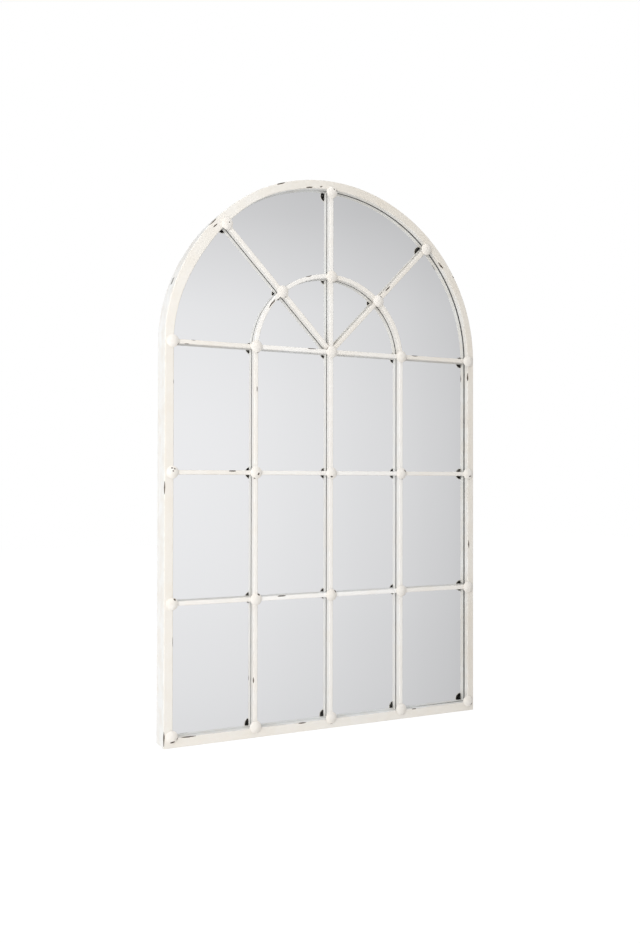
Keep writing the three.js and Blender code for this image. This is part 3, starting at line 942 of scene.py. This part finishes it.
def steel_material():
    """Zinc-plated pressed steel, faintly spangled and scratched."""
    n = Surface("plated_steel")
    place = n.place()
    spangle = n.cells(place, 140)
    scratch = n.noise(n.stretch(place, (30.0, 1.0, 1.2)), 60, 4.0, 0.7)
    grime = n.noise(place, 45, 4.0, 0.6)
    color = n.mix(n.span(spangle, 0.0, 0.7), (0.46, 0.47, 0.475), (0.60, 0.61, 0.61))
    color = n.mix(n.span(grime, 0.55, 0.8, 0.0, 0.5), color, (0.27, 0.24, 0.21))
    relief = n.bump(scratch, 0.25, 0.0002)
    return n.set(color=color, metallic=0.9, roughness=n.span(scratch, 0.3, 0.7, 0.32, 0.5), normal=relief)


def dress(piece, material):
    """Gives a piece its material."""
    piece.data.materials.clear()
    piece.data.materials.append(material)


# The side tones are cooler than the front ones, and lighter on the frame and the caps: painted light from the
# side.
paint_frame = worn_paint(
    "cream_paint_frame", front=(0.812, 0.771, 0.707), side=(0.872, 0.866, 0.842), inner=(0.20, 0.19, 0.178)
)
paint_bars = worn_paint(
    "cream_paint_bars", front=(0.885, 0.857, 0.815), side=(0.86, 0.85, 0.825), inner=(0.80, 0.78, 0.74)
)
# The caps' hollow is near black, darker than any bare steel here: painted shade in the hollow over its
# unpainted metal.
paint_caps = worn_paint(
    "cream_paint_caps", front=(0.852, 0.814, 0.762), side=(0.86, 0.84, 0.80), inner=(0.035, 0.032, 0.03)
)
silver = mirror_material()
board = board_material()
black_foam = foam_material()
steel = steel_material()

dress(frame_piece, paint_frame)
dress(tab_piece, paint_frame)
dress(foam_piece, black_foam)
for piece in bar_pieces:
    dress(piece, paint_bars)
for piece in cap_pieces:
    dress(piece, paint_caps)
for node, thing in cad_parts.items():
    if node == "mirror_glass":
        dress(thing, silver)
    elif node == "backing_board":
        dress(thing, board)
    elif node.startswith("hanger"):
        dress(thing, steel)
for piece in [frame_piece, foam_piece, tab_piece, *bar_pieces, *cap_pieces]:
    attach(piece, "root")


# ---------------------------------------------------------------- floor, light and camera
def floor_material():
    """Pale paper that the camera sees as nearly white, with the mirror's shadow kept."""
    n = Surface("pale_floor")
    color = n.mix(n.noise(n.place(), 1.5, 3.0), (0.86, 0.86, 0.86), (0.88, 0.88, 0.875))
    n.set(color=color, roughness=0.9)
    white = n.glow("ShaderNodeEmission", (1, 1, 1), 1.07)
    to_camera = n.add("ShaderNodeLightPath").outputs["Is Camera Ray"]
    share = n.math("ADD", n.math("MULTIPLY", to_camera, 0.55), 0.35)
    n.link(n.mix_shaders(share, n.shader.outputs[0], white), n.out.inputs["Surface"])
    return n.material


def stage_floor():
    """A floor just under the mirror, which its glass doesn't show."""
    half = 6.0
    just_under = 0.0002
    level = -JAMB_LENGTH * MM - just_under
    mesh = bpy.data.meshes.new("floor")
    corners = [(-half, -half, level), (half, -half, level), (half, half, level), (-half, half, level)]
    mesh.from_pydata(corners, [], [(0, 1, 2, 3)])
    floor = bpy.data.objects.new("floor", mesh)
    bpy.context.scene.collection.objects.link(floor)
    floor.data.materials.append(floor_material())
    floor.visible_glossy = False


def area_light(name, place, target, size, power):
    data = bpy.data.lights.new(name, "AREA")
    data.shape = "RECTANGLE"
    data.size, data.size_y = size
    data.energy = power
    lamp = bpy.data.objects.new(name, data)
    lamp.location = place
    lamp.rotation_euler = (Vector(target) - Vector(place)).to_track_quat("-Z", "Y").to_euler()
    lamp.visible_camera = False
    lamp.visible_glossy = False
    bpy.context.scene.collection.objects.link(lamp)


def brightness_curve(n, value, low, high, stops):
    """A smooth curve of brightness over a range of values; stops are (value, brightness)."""
    node = n.add("ShaderNodeValToRGB")
    n.link(n.span(value, low, high, curve="LINEAR"), node.inputs["Fac"])
    scale = node.color_ramp
    scale.interpolation = "CARDINAL"
    places = [((v - low) / (high - low), level) for v, level in stops]
    scale.elements[0].position = places[0][0]
    scale.elements[0].color = (places[0][1],) * 3 + (1,)
    scale.elements[1].position = places[-1][0]
    scale.elements[1].color = (places[-1][1],) * 3 + (1,)
    for position, level in places[1:-1]:
        element = scale.elements.new(position)
        element.color = (level,) * 3 + (1,)
    return node.outputs["Color"]


def room_in_the_glass(n):
    """What the mirror shows: a soft pale room, darker to its right side, above and below. The
    curves go by the angle sideways and the angle upwards, in radians."""
    direction = n.split(n.add("ShaderNodeTexCoord").outputs["Generated"])
    sideways = n.math("ARCTAN2", direction["X"], n.math("MULTIPLY", direction["Y"], -1.0))
    across = brightness_curve(
        n, sideways, -1.6, 1.6,
        [(-1.6, 0.70), (-0.6, 0.86), (0.0, 0.925), (0.29, 0.925), (0.40, 0.877), (0.48, 0.815), (0.55, 0.745),
         (0.60, 0.66), (0.70, 0.53), (1.0, 0.42), (1.6, 0.42)],
    )
    height = n.add("ShaderNodeMath", operation="ARCSINE")
    n.link(direction["Z"], height.inputs[0])
    upward = brightness_curve(
        n, height.outputs[0], -1.5, 1.5,
        [(-1.5, 0.55), (-0.6, 0.71), (-0.26, 0.86), (-0.14, 0.95), (0.03, 1.0), (0.14, 0.97), (0.20, 0.92),
         (0.27, 0.785), (0.32, 0.69), (0.45, 0.6), (0.9, 0.6), (1.5, 0.6)],
    )
    room = n.mix(1.0, across, upward, "MULTIPLY")
    return n.mix(1.0, room, (1.004, 0.995, 1.01), "MULTIPLY")


def studio_world(ambient):
    """White behind the object, the room in reflections, and an even fill for everything else."""
    world = bpy.data.worlds.new("studio")
    bpy.context.scene.world = world
    n = Nodes(world)
    rays = n.add("ShaderNodeLightPath").outputs
    reflected = n.math("MAXIMUM", rays["Is Glossy Ray"], rays["Is Transmission Ray"])
    fill = n.glow("ShaderNodeBackground", (0.98, 0.99, 1.0), ambient)
    room = n.glow("ShaderNodeBackground", room_in_the_glass(n))
    white = n.glow("ShaderNodeBackground", (1, 1, 1))
    light = n.mix_shaders(reflected, fill, room)
    shown = n.mix_shaders(rays["Is Camera Ray"], light, white)
    n.link(shown, n.add("ShaderNodeOutputWorld").inputs["Surface"])


def photo_camera():
    """The camera as fitted to the photograph, which is 943 pixels high; no shift."""
    picture_height = 943.0
    focal_pixels = 915.8
    yaw, pitch, roll = math.radians(-25.67), math.radians(0.6), math.radians(-0.1)
    turn = Matrix.Rotation(yaw, 3, "Z") @ Matrix.Rotation(pitch, 3, "X") @ Matrix.Rotation(roll, 3, "Y")
    right, forward, up = turn.col[0], turn.col[1], turn.col[2]
    pose = Matrix((right, up, -forward)).transposed().to_4x4()
    pose.translation = Vector((-951.2, -1972.6, -302.7)) * MM
    data = bpy.data.cameras.new("camera")
    data.sensor_width = 36.0
    data.lens = focal_pixels * data.sensor_width / picture_height
    data.clip_start, data.clip_end = 0.05, 50
    camera = bpy.data.objects.new("camera", data)
    camera.matrix_world = pose
    bpy.context.scene.collection.objects.link(camera)
    bpy.context.scene.camera = camera


stage_floor()
studio_world(ambient=0.475)
middle = (0.0, -0.05, -0.24)
area_light("key", (-2.85, -1.4, 0.1), middle, size=(1.6, 2.4), power=38)
area_light("front", (-1.25, -1.35, -0.25), middle, size=(0.8, 1.2), power=8)
area_light("top", (0.1, -0.8, 2.4), middle, size=(2.4, 1.4), power=26)
photo_camera()
bpy.context.scene.view_settings.view_transform = "Standard"
